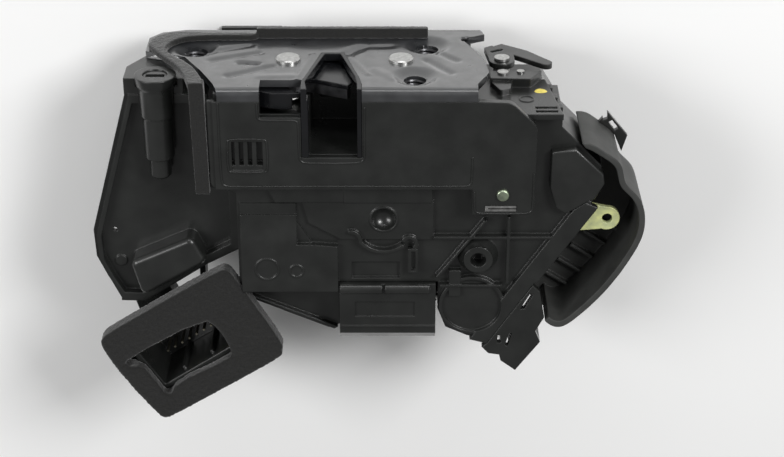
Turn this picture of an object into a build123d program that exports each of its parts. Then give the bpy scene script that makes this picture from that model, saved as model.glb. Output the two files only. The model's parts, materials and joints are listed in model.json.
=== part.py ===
from build123d import *
import math
import os

os.makedirs("parts", exist_ok=True)

# A car door latch with its locking module, lying on its back
# The lock plate's outer face is the plane y = 0, with +y its outward normal
# z = 0 is where a latched striker lies, +z is the front, +x the lever guard's side

# Overall levels along z
cover_face = 23.5
cover_wall = 2.5
housing_face = 18.5
housing_base = 16.0
parting = -8.0
shell_floor = -26.0
back_face = -38.0
wing_face = 8.5
wing_back = -12.0

# Walls and clearances
wall = 2.0
slip = 0.1
running = 0.06

# Lock plate and striker slot
plate = 2.5
plate_back_edge = -28.0
slot_end = -7.4
slot_half = 8.0
slot_depth = 24.4
jaw_left = 2.4
jaw_right = 1.6
flange_depth = 4.2
thread_r = 3.4
collar_r = 6.0
collar_depth = 7.5
hole_a = (-47.0, -11.8)
hole_c = (27.0, 12.1)
hole_d = (31.5, -14.4)

# Window beside the slot
window_left = -23.8
window_depth = 9.9
window_back = 15.4

# Catch, pawl and their rivets
catch_pivot = (-15.4, -1.3)
pawl_pivot = (22.4, -1.3)
rivet_r = 3.8
rivet_head_r = 4.15
rivet_head = 1.2
overmould = 1.6
catch_steel = 4.0
catch_gap = 0.7
catch_open_turn = 60.0
catch_hub_r = 9.0
front_leg_r = 20.6
rear_leg_r = 24.5
ride_r = 18.0
notch_r = 14.0
tooth_angle = -64.0
mouth_r = 6.0
pawl_drop = 6.4
pawl_hub_r = 8.0

# Springs of the catch and pawl
spring_r = 4.9
spring_wire_r = 0.6
spring_turns = 3

# Carrier and back plate
carrier_left = -39.0
carrier_right = 46.5
carrier_front = 20.9
carrier_wall = 1.6
back_plate = 2.0
tail_head = 1.4

# Front cover
cover_left = -41.0
cover_right = 67.0
cover_bottom = -36.2
tab_left = 46.2
tab_bottom = -45.6

# Locking drive
wheel_centre = (47.5, -75.5)
drive_level = 4.0
worm_pitch = 2.5
wheel_teeth = 24
wheel_face = 4.0
worm_mean_r = 3.0
worm_outer_r = 3.7
worm_root_r = 2.2
pinion_teeth = 12
pinion_module = 1.0
motor_r = 9.2
motor_x = (3.6, 31.0)
axle_r = 1.5

# Release levers
inside_pivot = (71.5, -50.0)
inside_level = 9.6
lever_sheet = 1.8
inside_pin_r = 2.0
eye = (93.0, -53.2)
eye_r = 1.8
outside_pivot = (57.0, -14.5)
outside_pin_r = 1.6
outside_level = -5.4

# Key cylinder tube
tube_axis = (-58.9, 9.4)
tube_mouth = -0.5
tube_upper = (5.6, -15.0)
tube_middle = (5.1, -30.2)
tube_foot_r = 3.7
tube_foot = -38.2
tube_head_r = 7.0
rotor_r = 4.0
rotor_depth = 13.5

# Connector, turned in the picture plane
plug_centre = (-53.5, -104.0)
plug_turn = 33.5
socket_size = (34.0, 20.0)
socket_wall = 2.2
socket_back = -8.0
socket_front = 14.0
plug_flange = (10.0, 12.0)
foam_centre = (-50.3, -101.5)
foam_size = (52.0, 36.6)
foam_front = 18.5

# Cable guard
tray_top = -5.0
tray_bottom = -7.0
guard_rim = 19.0

# Levels down through the latch, along -y
plate_back = -plate
catch_top = plate_back - catch_gap
steel_top = catch_top - overmould
steel_bottom = steel_top - catch_steel
spring_top = steel_bottom - 0.6
carrier_floor_top = -13.4
carrier_floor = carrier_floor_top - wall
back_plate_bottom = carrier_floor - back_plate
carrier_bottom = -slot_depth - wall
tunnel_wall_top = -9.5

# The worm lies along x, just below the wheel's pitch circle
wheel_r = wheel_teeth * worm_pitch / (2 * math.pi)
pinion_r = pinion_teeth * pinion_module / 2
worm_y = wheel_centre[1] - wheel_r - worm_mean_r
worm_axis = (worm_y, drive_level)

# A cut that goes right through ends far off the piece
far_off = 60.0


def facing_out(y, pivot=(0, 0), turn=0.0):
    """The plane of a piece lying along the lock plate, its x along the row's x and its y along z."""
    along = (math.cos(math.radians(turn)), 0, -math.sin(math.radians(turn)))
    return Plane(origin=(pivot[0], y, pivot[1]), x_dir=along, z_dir=(0, -1, 0))


def layer(points, low, high, corner=0, mode=Mode.ADD):
    """A layer with a given outline between two levels along z."""
    with BuildSketch(Plane.XY.offset(low)) as outline:
        Polygon(*points, align=None)
        if corner:
            fillet(outline.vertices(), corner)
    extrude(outline.sketch, amount=high - low, mode=mode)


def sheet(points, top, depth, corner=0, mode=Mode.ADD):
    """A layer lying along the lock plate, with its outer side at the level top along y."""
    with BuildSketch(facing_out(top)) as outline:
        Polygon(*points, align=None)
        if corner:
            fillet(outline.vertices(), corner)
    extrude(outline.sketch, amount=depth, mode=mode)


def block(x, y, z, mode=Mode.ADD):
    """A rectangular block given by its two limits along each axis."""
    with Locations(((x[0] + x[1]) / 2, (y[0] + y[1]) / 2, (z[0] + z[1]) / 2)):
        Box(x[1] - x[0], y[1] - y[0], z[1] - z[0], mode=mode)


def rod_y(place, radius, top, bottom, mode=Mode.ADD):
    """A round rod along y at a place given as x and z."""
    with BuildSketch(facing_out(top, place)) as circle:
        Circle(radius)
    extrude(circle.sketch, amount=top - bottom, mode=mode)


def rod_z(place, radius, low, high, mode=Mode.ADD):
    """A round rod along z at a place given as x and y."""
    with BuildSketch(Plane(origin=(place[0], place[1], low))) as circle:
        Circle(radius)
    extrude(circle.sketch, amount=high - low, mode=mode)


def rod_x(place, radius, start, end, mode=Mode.ADD):
    """A round rod along x at a place given as y and z."""
    with BuildSketch(Plane(origin=(start, place[0], place[1]), z_dir=(1, 0, 0))) as circle:
        Circle(radius)
    extrude(circle.sketch, amount=end - start, mode=mode)


def polar(radius, degrees):
    """The point at a radius and an angle."""
    return (radius * math.cos(math.radians(degrees)), radius * math.sin(math.radians(degrees)))


def sector(radius, start, end):
    """A pie-shaped sector about a sketch's origin."""
    with BuildLine() as pie:
        rim = CenterArc((0, 0), radius, start, end - start)
        Line((0, 0), rim @ 0)
        Line(rim @ 1, (0, 0))
    make_face(pie.edges())


# Lock plate
plate_outline = [
    (-37.5, cover_face), (-39.2, 18.0), (-44.2, 7.1), (-50.2, -3.9), (-57.0, -6.5), (-64.0, -9.0),
    (-64.0, -20.7), (-60.0, -26.0), (-52.0, plate_back_edge), (50.0, plate_back_edge),
    (51.3, -24.0), (43.1, -19.8), (48.0, -9.0), (50.6, 0.5), (51.5, 9.0), (47.4, 18.7), (47.4, cover_face),
]
fishmouth = [
    (-4.6, slot_end), (3.4, slot_end), (8.6, 13.0), (slot_half + jaw_right, 19.0),
    (slot_half + jaw_right, 26.0), (-slot_half - jaw_left, 26.0), (-slot_half - jaw_left, 17.0),
]
with BuildPart() as lock_plate:
    sheet(plate_outline, 0, plate)
    block((-37.5, 47.4), (-flange_depth, 0), (cover_face - cover_wall, cover_face))
    front_edges = lock_plate.edges().filter_by(Axis.X).group_by(Axis.Z)[-1].sort_by(Axis.Y)
    fillet(front_edges[-1], radius=2.4)
    sheet(fishmouth, 1, flange_depth + 2, mode=Mode.SUBTRACT)
    block((window_left, 0), (-flange_depth - 1, 1), (window_back, 26.0), mode=Mode.SUBTRACT)
    for place in (hole_a, hole_c, hole_d):
        rod_y(place, collar_r, plate_back, -collar_depth)
    for place in (hole_a, hole_c, hole_d):
        rod_y(place, thread_r, 1, -collar_depth - 1, mode=Mode.SUBTRACT)
    for pivot in (catch_pivot, pawl_pivot):
        rod_y(pivot, rivet_r + slip / 2, 1, plate_back - 1, mode=Mode.SUBTRACT)
lock_plate.part.label = "lock_plate"
export_step(lock_plate.part, "parts/lock_plate.step")

# Rivets that carry the catch and the pawl
for name, pivot in (("catch_rivet", catch_pivot), ("pawl_rivet", pawl_pivot)):
    with BuildPart() as rivet:
        rod_y(pivot, rivet_r, 0, back_plate_bottom)
        rod_y(pivot, rivet_head_r, rivet_head, 0)
        rod_y(pivot, rivet_r + 1.4, back_plate_bottom, back_plate_bottom - tail_head)
        chamfer(rivet.edges().filter_by(GeomType.CIRCLE).sort_by(Axis.Y)[-1], 0.4)
    rivet.part.label = name
    export_step(rivet.part, f"parts/{name}.step")

# Catch outline, drawn as it stands when latched, about its own pivot
striker = (-catch_pivot[0], -catch_pivot[1])
mouth_direction = -35.0
step = polar(1.0, mouth_direction)


def cut_mouth(radius):
    """The striker's mouth: a round seat open along the mouth's direction."""
    with Locations(striker):
        Circle(radius, mode=Mode.SUBTRACT)
    middle = (striker[0] + 15 * step[0], striker[1] + 15 * step[1])
    with Locations(Location((middle[0], middle[1], 0), (0, 0, mouth_direction))):
        Rectangle(30, 2 * radius, mode=Mode.SUBTRACT)


def catch_steel_face():
    """The catch's steel outline."""
    Circle(catch_hub_r)
    sector(front_leg_r - 1.2, -20, 70)
    sector(rear_leg_r - 0.8, -33.5, -14)
    sector(notch_r, tooth_angle - 2, -30)
    sector(ride_r, -110, tooth_angle)
    sector(notch_r, -140, -108)
    cut_mouth(mouth_r + 0.8)
    Circle(rivet_r + running, mode=Mode.SUBTRACT)


def catch_cover_face():
    """The catch's moulded top, which reaches past the steel all round."""
    Circle(catch_hub_r)
    sector(front_leg_r, -20, 72)
    sector(rear_leg_r, tooth_angle, -14)
    sector(ride_r, -112, tooth_angle + 1)
    sector(notch_r, -140, -108)
    cut_mouth(mouth_r)
    Circle(rivet_r + running, mode=Mode.SUBTRACT)


# Catch, at rest in its open position
with BuildPart() as catch:
    with BuildSketch(facing_out(steel_top, catch_pivot, -catch_open_turn)) as steel_face:
        catch_steel_face()
    extrude(amount=catch_steel)
catch.part.label = "catch"
export_step(catch.part, "parts/catch.step")

# Catch overmould, a sheet over the steel with a skirt round the front leg
with BuildPart() as catch_cover:
    with BuildSketch(facing_out(catch_top, catch_pivot, -catch_open_turn)) as cover_sheet:
        catch_cover_face()
    extrude(amount=overmould)
    with BuildSketch(facing_out(steel_top, catch_pivot, -catch_open_turn)) as skirt:
        sector(front_leg_r, 24, 72)
        cut_mouth(mouth_r)
        sector(front_leg_r - 1.2, 20, 70)
    with BuildSketch(facing_out(steel_top, catch_pivot, -catch_open_turn)) as skirt_core:
        sector(front_leg_r - 1.15, -20, 70.15)
        Circle(catch_hub_r + slip)
    extrude(skirt.sketch, amount=catch_steel)
    extrude(skirt_core.sketch, amount=catch_steel, mode=Mode.SUBTRACT)
catch_cover.part.label = "catch_cover"
export_step(catch_cover.part, "parts/catch_cover.step")

# Pawl outline, drawn dropped into the notch, about its own pivot
reach = pawl_pivot[0] - catch_pivot[0]
nose_side = tooth_angle + 0.5
pawl_points = [
    (40.0, -7.7), (30.0, -15.5), (24.0, -20.3), (11.2, -20.6), polar(22.0, nose_side),
    polar(notch_r + 0.6, nose_side), polar(notch_r + 0.6, nose_side + 11),
    polar(ride_r + 0.4, nose_side + 12),
    (20.6, -15.6), (26.0, -12.6), (32.6, -6.0),
]
pawl_about_pivot = [(x - reach, z) for x, z in pawl_points]

# Pawl, at rest riding on the catch's rim
with BuildPart() as pawl:
    with BuildSketch(facing_out(steel_top - 0.1, pawl_pivot, -pawl_drop)) as pawl_face:
        Polygon(*pawl_about_pivot, align=None)
        Circle(pawl_hub_r)
        with Locations((8.0, 1.0)):
            SlotOverall(17.0, 5.4)
        Circle(rivet_r + running, mode=Mode.SUBTRACT)
    extrude(amount=catch_steel - 0.1)
pawl.part.label = "pawl"
export_step(pawl.part, "parts/pawl.step")

# Pawl overmould, a cap over the hub and the tail
with BuildPart() as pawl_cover:
    with BuildSketch(facing_out(catch_top, pawl_pivot, -pawl_drop)) as pawl_cap:
        Circle(pawl_hub_r - 0.4)
        with Locations((8.0, 1.0)):
            SlotOverall(17.8, 6.2)
        Circle(rivet_r + running, mode=Mode.SUBTRACT)
    extrude(amount=overmould + 0.1)
pawl_cover.part.label = "pawl_cover"
export_step(pawl_cover.part, "parts/pawl_cover.step")

# Torsion springs round the rivets, close wound with two straight legs
spring_legs = {"catch_spring": (200.0, 110.0), "pawl_spring": (60.0, -75.0)}
coil_pitch = 2 * spring_wire_r * 0.93
for name, pivot in (("catch_spring", catch_pivot), ("pawl_spring", pawl_pivot)):
    with BuildPart() as spring:
        with BuildSketch(Plane(origin=(pivot[0], 0, pivot[1]))) as wires:
            for turn in range(spring_turns):
                with Locations((spring_r, spring_top - spring_wire_r - turn * coil_pitch)):
                    Circle(spring_wire_r)
        revolve(wires.sketch, axis=Axis((pivot[0], 0, pivot[1]), (0, 1, 0)))
        for leg, turn in zip(spring_legs[name], (0, spring_turns - 1)):
            level = spring_top - spring_wire_r - turn * coil_pitch
            root = polar(spring_r - 0.1, leg)
            along = polar(1.0, leg + 90)
            start = (pivot[0] + root[0], level, pivot[1] + root[1])
            with BuildSketch(Plane(origin=start, z_dir=(along[0], 0, along[1]))) as leg_wire:
                Circle(0.9 * spring_wire_r)
            extrude(leg_wire.sketch, amount=9.0)
    spring.part.label = name
    export_step(spring.part, f"parts/{name}.step")

# Latch carrier, a moulded frame behind the plate with the striker tunnel
pocket = [
    (-37.4, 6.0), (-33.0, 14.0), (-27.0, 19.6), (44.5, 19.6), (44.5, -16.0), (38.0, -26.4),
    (-34.0, -26.4), (-37.4, -20.0),
]
with BuildPart() as latch_carrier:
    block((carrier_left, carrier_right), (carrier_bottom, plate_back), (plate_back_edge, carrier_front))
    sheet(pocket, plate_back + 1, plate_back + 1 - carrier_floor_top, mode=Mode.SUBTRACT)
    block(
        (carrier_left + carrier_wall, carrier_right - carrier_wall), (carrier_bottom - 1, carrier_floor),
        (plate_back_edge + carrier_wall, carrier_front - carrier_wall), mode=Mode.SUBTRACT,
    )
    tunnel = (-slot_half - carrier_wall, slot_half + carrier_wall)
    block(tunnel, (carrier_bottom, tunnel_wall_top), (slot_end - carrier_wall, carrier_front))
    block((-7.0, 7.0), (-18.0, tunnel_wall_top), (-13.4, slot_end))
    block((-slot_half, slot_half), (-slot_depth, 0), (slot_end, carrier_front + 1), mode=Mode.SUBTRACT)
    block(
        (-slot_half - jaw_left, slot_half + jaw_right), (-slot_depth, 0),
        (19.4, carrier_front + 1), mode=Mode.SUBTRACT,
    )
    block((-5.1, 5.1), (-16.1, tunnel_wall_top), (-11.6, slot_end + 1), mode=Mode.SUBTRACT)
    block((window_left, -slot_half), (-window_depth, 0), (window_back, carrier_front + 1), mode=Mode.SUBTRACT)
    for pivot in (catch_pivot, pawl_pivot):
        rod_y(pivot, rivet_r + slip, 0, carrier_floor - 1, mode=Mode.SUBTRACT)
latch_carrier.part.label = "latch_carrier"
export_step(latch_carrier.part, "parts/latch_carrier.step")

# Steel back plate that ties the two rivets, bent round behind the striker tunnel
back_outline = [
    (-26.0, 7.5), (-12.0, 7.5), (-12.0, -14.5), (12.0, -14.5), (12.0, 7.5), (33.0, 7.5),
    (33.0, -14.0), (24.0, -24.0), (-20.0, -24.0), (-26.0, -16.0),
]
with BuildPart() as latch_back_plate:
    sheet(back_outline, carrier_floor, back_plate, corner=2.0)
    for pivot in (catch_pivot, pawl_pivot):
        rod_y(pivot, rivet_r + slip / 2, carrier_floor + 1, back_plate_bottom - 1, mode=Mode.SUBTRACT)
latch_back_plate.part.label = "latch_back_plate"
export_step(latch_back_plate.part, "parts/latch_back_plate.step")

# Slot liner: a moulded lip round the fishmouth with two jaws down the front
lip = 1.3
liner_depth = plate - 0.1
with BuildPart() as slot_liner:
    inner = [
        (-4.6 + lip, slot_end + lip), (3.4 - lip, slot_end + lip), (8.6 - lip, 13.0), (slot_half, 19.0),
        (slot_half, 26.0), (-slot_half, 26.0), (-slot_half - jaw_left + lip, 17.0),
    ]
    outer = [
        (-4.5, slot_end + slip), (3.3, slot_end + slip), (8.5, 13.0), (slot_half + jaw_right - slip, 19.0),
        (slot_half + jaw_right - slip, 20.0), (-slot_half - jaw_left + slip, 20.0),
        (-slot_half - jaw_left + slip, 17.0),
    ]
    sheet(outer, 0.3, liner_depth + 0.3)
    jaws = ((-slot_half - jaw_left + slip, -slot_half), (slot_half, slot_half + jaw_right - slip))
    for jaw in jaws:
        block(jaw, (-slot_depth + slip, 0.3), (19.5, cover_face))
    sheet(inner, 1, liner_depth + 2, mode=Mode.SUBTRACT)
slot_liner.part.label = "slot_liner"
export_step(slot_liner.part, "parts/slot_liner.step")

# Rubber striker buffer at the end of the tunnel
with BuildPart() as striker_buffer:
    block((-5.0, 5.0), (-16.0, -10.5), (-11.5, slot_end + 0.4))
    fillet(striker_buffer.edges().filter_by(Axis.Y).group_by(Axis.Z)[-1], radius=1.2)
striker_buffer.part.label = "striker_buffer"
export_step(striker_buffer.part, "parts/striker_buffer.step")

# Foam seal round the plate's back edge and down the left side of the front
seal_height = 3.85
seal_band = (-22.6, -19.6)
seal_low = 2.2
seal_step = 19.2
with BuildPart() as plate_seal:
    block((-27.0, 31.8), (0, seal_height), seal_band)
    corner_outline = [
        (-27.0, -21.0), (-27.0, -23.6), (-44.0, -24.4), (-52.0, -27.6), (-60.0, -26.5), (-64.5, -20.0),
        (-64.0, -10.0), (-57.0, -6.0), (-52.5, 2.0), (-49.0, 12.0), (-47.0, 21.5), (-41.7, 21.5),
        (-42.0, 12.0), (-46.5, 0.0), (-52.5, -8.0), (-54.5, -15.0), (-50.0, -21.0), (-44.0, -22.0),
    ]
    sheet(corner_outline, seal_low, seal_low)
    block((-46.8, -41.6), (-38.0, seal_low), (seal_step, cover_face))
    top_edge = plate_seal.edges().filter_by(Axis.X).group_by(Axis.Z)[-1].sort_by(Axis.Y)
    fillet(top_edge[-1], radius=1.8)
plate_seal.part.label = "plate_seal"
export_step(plate_seal.part, "parts/plate_seal.step")

# Front cover, a moulded wall with the striker slot, windows and a tab
cover_outline = [
    (cover_left, -flange_depth - 0.1), (48.0, -flange_depth - 0.1), (58.5, -4.7), (cover_right, -13.0),
    (cover_right, tab_bottom), (tab_left, tab_bottom), (tab_left, cover_bottom), (cover_left, cover_bottom),
]
with BuildPart() as front_cover:
    with BuildSketch(Plane.XY.offset(cover_face - cover_wall)) as cover_sketch:
        Polygon(*cover_outline, align=None)
        corners = cover_sketch.vertices()
        fillet(corners.filter_by(lambda v: v.Y < -30 and (v.X < 0 or v.X > 60)), 3.0)
        fillet(cover_sketch.vertices().filter_by(lambda v: v.X > 55 and v.Y > -15), 4.5)
    extrude(amount=cover_wall)
    block((-slot_half - jaw_left, slot_half + jaw_right), (-slot_depth, 0), (0, far_off), mode=Mode.SUBTRACT)
    block((window_left, -slot_half), (-window_depth, 0), (0, far_off), mode=Mode.SUBTRACT)
    rim_low = cover_face - 0.8
    block((cover_left, -39.2), (cover_bottom, -flange_depth), (rim_low, far_off), mode=Mode.SUBTRACT)
    comb = [-33.4 + 0.9 + 2.9 * n for n in range(4)]
    block((-33.4, -23.2), (-29.2, -18.6), (0, far_off), mode=Mode.SUBTRACT)
    for left in comb[:3]:
        block((left, left + 1.5), (-29.2, -18.6), (cover_face - cover_wall, cover_face - 0.5))
    block((-33.4, -23.2), (-29.2, -27.4), (cover_face - cover_wall, cover_face - 0.5))
    stud_centre = (56.3, -38.1)
    rod_z(stud_centre, 1.5 + slip / 2, 0, far_off, mode=Mode.SUBTRACT)
    block((50.4, 61.0), (-44.3, -42.1), (cover_face - 1.0, far_off), mode=Mode.SUBTRACT)
front_cover.part.label = "front_cover"
export_step(front_cover.part, "parts/front_cover.step")

# Stud through the cover's tab, and the bright spring strip under it
with BuildPart() as cover_stud:
    rod_z(stud_centre, 2.1, cover_face, cover_face + 1.0)
    rod_z(stud_centre, 1.5, cover_face - cover_wall, cover_face)
    fillet(cover_stud.edges().filter_by(GeomType.CIRCLE).sort_by(Axis.Z)[-1], radius=0.6)
cover_stud.part.label = "cover_stud"
export_step(cover_stud.part, "parts/cover_stud.step")
with BuildPart() as cover_clip:
    for y in (-44.2, -43.0):
        block((50.5, 60.9), (y, y + 0.8), (cover_face - 1.0, cover_face + 0.1))
    block((50.5, 51.4), (-44.2, -42.2), (cover_face - 1.0, cover_face - 0.1))
cover_clip.part.label = "cover_clip"
export_step(cover_clip.part, "parts/cover_clip.step")

# Main housing
housing_outline = [
    (-41.5, carrier_bottom - 0.1), (47.4, carrier_bottom - 0.1), (47.4, -12.0), (75.8, -12.0), (75.8, -16.5),
    (81.5, -22.3), (89.5, -31.0), (89.5, -36.5), (86.4, -46.6), (52.5, -99.0), (45.5, -97.0), (38.0, -93.5),
    (35.2, -86.0), (35.2, -75.4), (1.0, -75.4), (1.0, -78.2), (-33.2, -78.2), (-33.2, -41.0), (-41.5, -38.6),
]
block_left = -32.2
block_bend = -13.0
block_crest = -59.8
block_profile = [
    (-78.2, housing_base), (-78.2, housing_face), (block_crest, housing_face), (-57.6, housing_face - 0.4),
    (-51.6, housing_base + 0.9), (-49.0, housing_base + 0.9), (-49.0, housing_base + 0.5),
    (-44.8, housing_base + 0.5), (-44.8, housing_base),
]
block_right = [
    (block_bend, block_crest), (-7.9, block_crest), (0.9, -60.5), (0.9, -78.2), (block_bend, -78.2),
]
block_slope = [(block_bend, -44.8), (-12.9, -51.7), (-7.9, block_crest), (block_bend, block_crest)]
chest = [
    (-41.5, carrier_bottom - 0.1), (47.4, carrier_bottom - 0.1), (47.4, -12.0), (63.6, -12.0), (66.8, -15.2),
    (66.8, -45.3),
    (46.4, -45.3), (46.4, -36.6), (-41.5, -36.6),
]
cavity = [
    (-31.0, -38.6), (64.0, -38.6), (64.0, -77.0), (54.7, -91.5), (50.5, -95.5), (45.5, -94.6), (39.8, -91.8),
    (37.2, -86.4), (37.2, -73.4), (-1.0, -73.4), (-1.0, -76.2), (-31.0, -76.2),
]
deck = 13.0
with BuildPart() as main_housing:
    layer(housing_outline, parting, housing_base)
    layer(chest, housing_base, cover_face - cover_wall)
    with BuildSketch(Plane.YZ.offset(block_left)) as block_section:
        Polygon(*block_profile, align=None)
    extrude(block_section.sketch, amount=block_bend - block_left)
    layer(block_right, housing_base, housing_face)
    layer(block_slope, housing_base, housing_base + 0.7)
    layer(cavity, parting - 1, deck, mode=Mode.SUBTRACT)
    block((-39.5, 64.8), (-36.6, carrier_bottom - 2.1), (parting - 1, deck), mode=Mode.SUBTRACT)
    block((49.4, 73.8), (-36.6, -14.0), (parting - 1, deck), mode=Mode.SUBTRACT)

    # Stepped panels and the band along the guard
    panel_split = 3.2
    block((panel_split, 33.0), (-44.0, -38.2), (housing_base, housing_face - 0.5))
    layer(
        [(-22.8, -38.2), (panel_split, -38.2), (panel_split, -44.0), (-20.0, -44.0)], housing_base,
        housing_face - 0.9,
    )
    layer(
        [(-11.0, -44.0), (33.5, -44.0), (33.5, -58.4), (2.0, -58.4), (-9.0, -52.0)], housing_base,
        housing_face - 1.3,
    )
    band = [
        (84.6, -43.6), (88.8, -45.6), (80.3, -58.2), (69.6, -74.2), (68.2, -74.8), (52.5, -99.0),
        (46.5, -97.3),
        (80.5, -46.5),
    ]
    layer(band, housing_base, housing_face)
    dome_centre = (16.6, -50.5)
    rod_z(dome_centre, 4.9, housing_base, housing_face - 0.9)
    with Locations((*dome_centre, housing_face + 0.1)):
        Sphere(4.4, mode=Mode.SUBTRACT)

    # Wavy bead below the dome: a long arc between two short hooks
    bead_width = 1.3
    bead_arcs = [((16.6, -52.6), 10.0, 218, 91), ((5.3, -58.3), 3.4, 0, 95), ((25.4, -59.2), 2.3, -40, 190)]
    for centre, radius, start, span in bead_arcs:
        with BuildSketch(Plane.XY.offset(housing_base)) as bead:
            SlotArc(CenterArc(centre, radius, start, span), bead_width)
        extrude(bead.sketch, amount=housing_face - housing_base)

    # Bare label recess, upright clip and two moulded rings
    block((5.6, 22.0), (-74.0, -67.8), (deck + 1.8, far_off), mode=Mode.SUBTRACT)
    block((24.9, 28.3), (-70.8, -61.4), (housing_base, housing_face))
    block((26.0, 27.4), (-69.8, -62.4), (housing_face - 1.2, far_off), mode=Mode.SUBTRACT)
    for centre, radius in (((-23.4, -69.2), 4.3), ((-13.3, -69.9), 2.6)):
        rod_z(centre, radius, housing_face, housing_face + 0.3)
        rod_z(centre, radius - 0.6, housing_face, housing_face + 1, mode=Mode.SUBTRACT)

    # Tower with its blind hole
    tower = (48.8, -64.8)
    rod_z(tower, 5.0, housing_base, housing_face + 1.5)
    with Locations((*tower, housing_base + 1.6)):
        Cone(7.0, 5.0, 3.2)
    rod_z(tower, 2.7, deck + 1.5, far_off, mode=Mode.SUBTRACT)

    # Round bulge over the worm wheel
    rod_z((47.0, -84.0), 11.4, housing_base, housing_face - 0.6)
    rod_z((47.0, -84.0), 10.2, housing_base + 0.9, far_off, mode=Mode.SUBTRACT)

    # Ribs of the lower right face
    rib_low, rib_high = housing_base, housing_face
    block((33.5, 74.0), (-57.6, -56.6), (rib_low, rib_high))
    block((58.5, 59.5), (-75.0, -49.0), (rib_low, rib_high))
    layer([(50.6, -50.4), (51.8, -50.4), (35.4, -72.6), (34.2, -72.6)], rib_low, rib_high)
    block((36.0, 57.0), (-76.4, -75.4), (rib_low, rib_high))
    block((39.0, 43.0), (-80.2, -70.0), (rib_low, housing_face - 0.4))

    # Flange at the lower left, below the raised block
    layer([(-33.2, -78.0), (1.0, -78.0), (1.0, -97.6), (-1.0, -98.6), (-33.6, -84.6)], 4.5, 7.0)
    layer([(-33.6, -84.6), (-33.3, -83.4), (0.2, -97.8), (-1.0, -98.6)], 7.0, 9.0)
    layer([(-19.0, -90.0), (-2.4, -97.2), (-3.1, -100.6), (-19.2, -93.6)], 1.5, 4.6)

    # Slot under the band for the inside lever, and its pivot hole
    sweep_r = 30.0
    with BuildSketch(Plane(origin=(inside_pivot[0], inside_pivot[1], inside_level - 1.4))) as lever_sweep:
        sector(sweep_r, -63, 24)
        sector(13.0, -114, 44)
        Circle(8.0)
    extrude(lever_sweep.sketch, amount=lever_sheet + 2.8, mode=Mode.SUBTRACT)
    rod_z(inside_pivot, inside_pin_r + slip / 2, 1.0, 15.0, mode=Mode.SUBTRACT)

    # Guide over the locking slider, axle seat and worm bearings
    block((28.0, 36.0), (-68.4, -63.2), (9.8, deck))
    block((28.0, 36.0), (-64.6, -63.2), (6.2, deck))
    rod_z(wheel_centre, axle_r + slip / 2, 9, 15.0, mode=Mode.SUBTRACT)
    rod_x(worm_axis, 1.6, 34.0, 39.4, mode=Mode.SUBTRACT)
    rod_x(worm_axis, 1.0 + running, 55.0, 57.6, mode=Mode.SUBTRACT)
main_housing.part.label = "main_housing"
export_step(main_housing.part, "parts/main_housing.step")

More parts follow.
